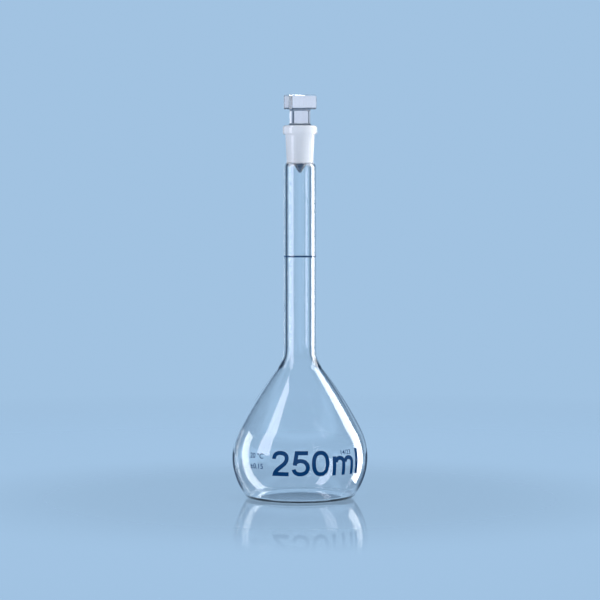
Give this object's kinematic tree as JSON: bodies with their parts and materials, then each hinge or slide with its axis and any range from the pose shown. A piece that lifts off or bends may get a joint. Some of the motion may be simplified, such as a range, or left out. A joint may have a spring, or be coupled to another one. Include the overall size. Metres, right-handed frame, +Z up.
{
  "type": "volumetric flask",
  "caption": "Pear-shaped clear glass volumetric flask with a long graduated neck, a ground taper socket and a hexagonal glass stopper that lifts out.",
  "frame": {"origin": "centre of the flat ring that the flask stands on", "axes": "+Z up along the axis of bulb, neck, socket and stopper; +Y away from the viewer of the printed side"},
  "size_m": [0.0802, 0.0802, 0.238],
  "materials": {
    "clear_glass": "fire-polished clear borosilicate glass",
    "ground_glass": "ground, white and translucent",
    "blue_enamel": "fired-on enamel, satin"
  },
  "bodies": {
    "flask": {"bulb": "clear_glass", "neck": "clear_glass", "ground_socket": "ground_glass", "graduation_ring": "blue_enamel"},
    "stopper": {"stopper": "clear_glass"}
  },
  "joints": [
    {"name": "stopper_lift", "type": "slide", "parent": "flask", "child": "stopper", "axis": [0, 0, 1], "range_m": [0, 0.06]}
  ]
}
